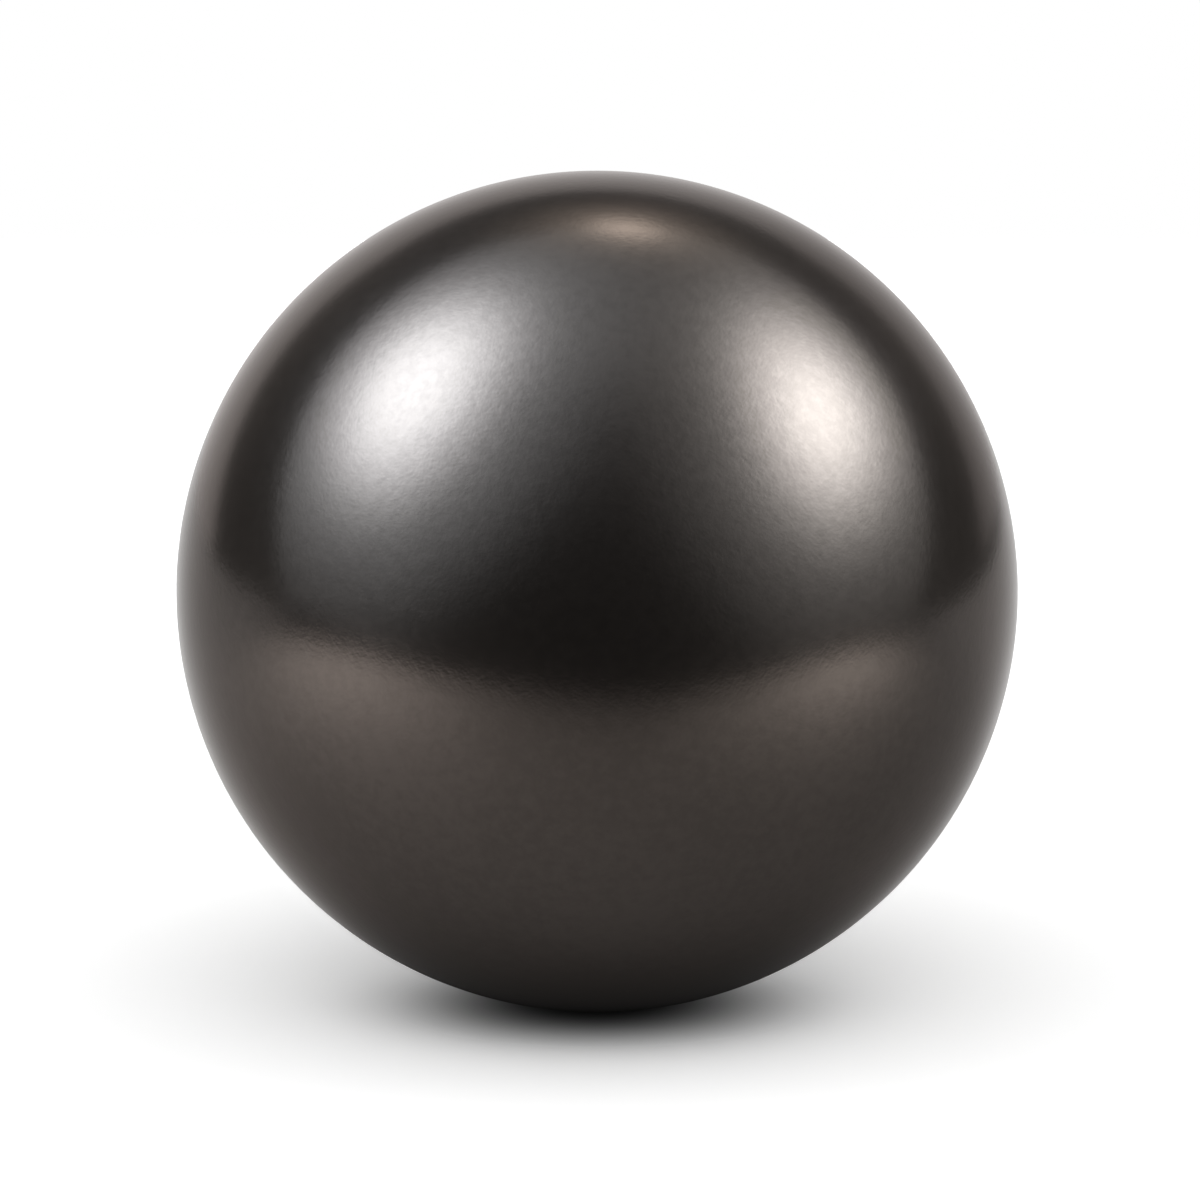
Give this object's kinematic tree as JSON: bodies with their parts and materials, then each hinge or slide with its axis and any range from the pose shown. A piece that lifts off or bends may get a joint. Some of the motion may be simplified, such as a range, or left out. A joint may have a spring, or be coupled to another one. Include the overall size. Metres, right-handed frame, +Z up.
{
  "type": "metal ball",
  "caption": "Solid round metal ball with a dark satin finish, a loose part that rolls, bears or weighs down.",
  "frame": {"origin": "centre of the ball", "axes": "+Z up, through the ball's lowest and highest points; the ball is the same about every axis, so X and Y are free"},
  "size_m": [0.0254, 0.0254, 0.0254],
  "materials": {
    "ball": "satin"
  },
  "bodies": {
    "root": {"ball": "ball"}
  },
  "joints": []
}
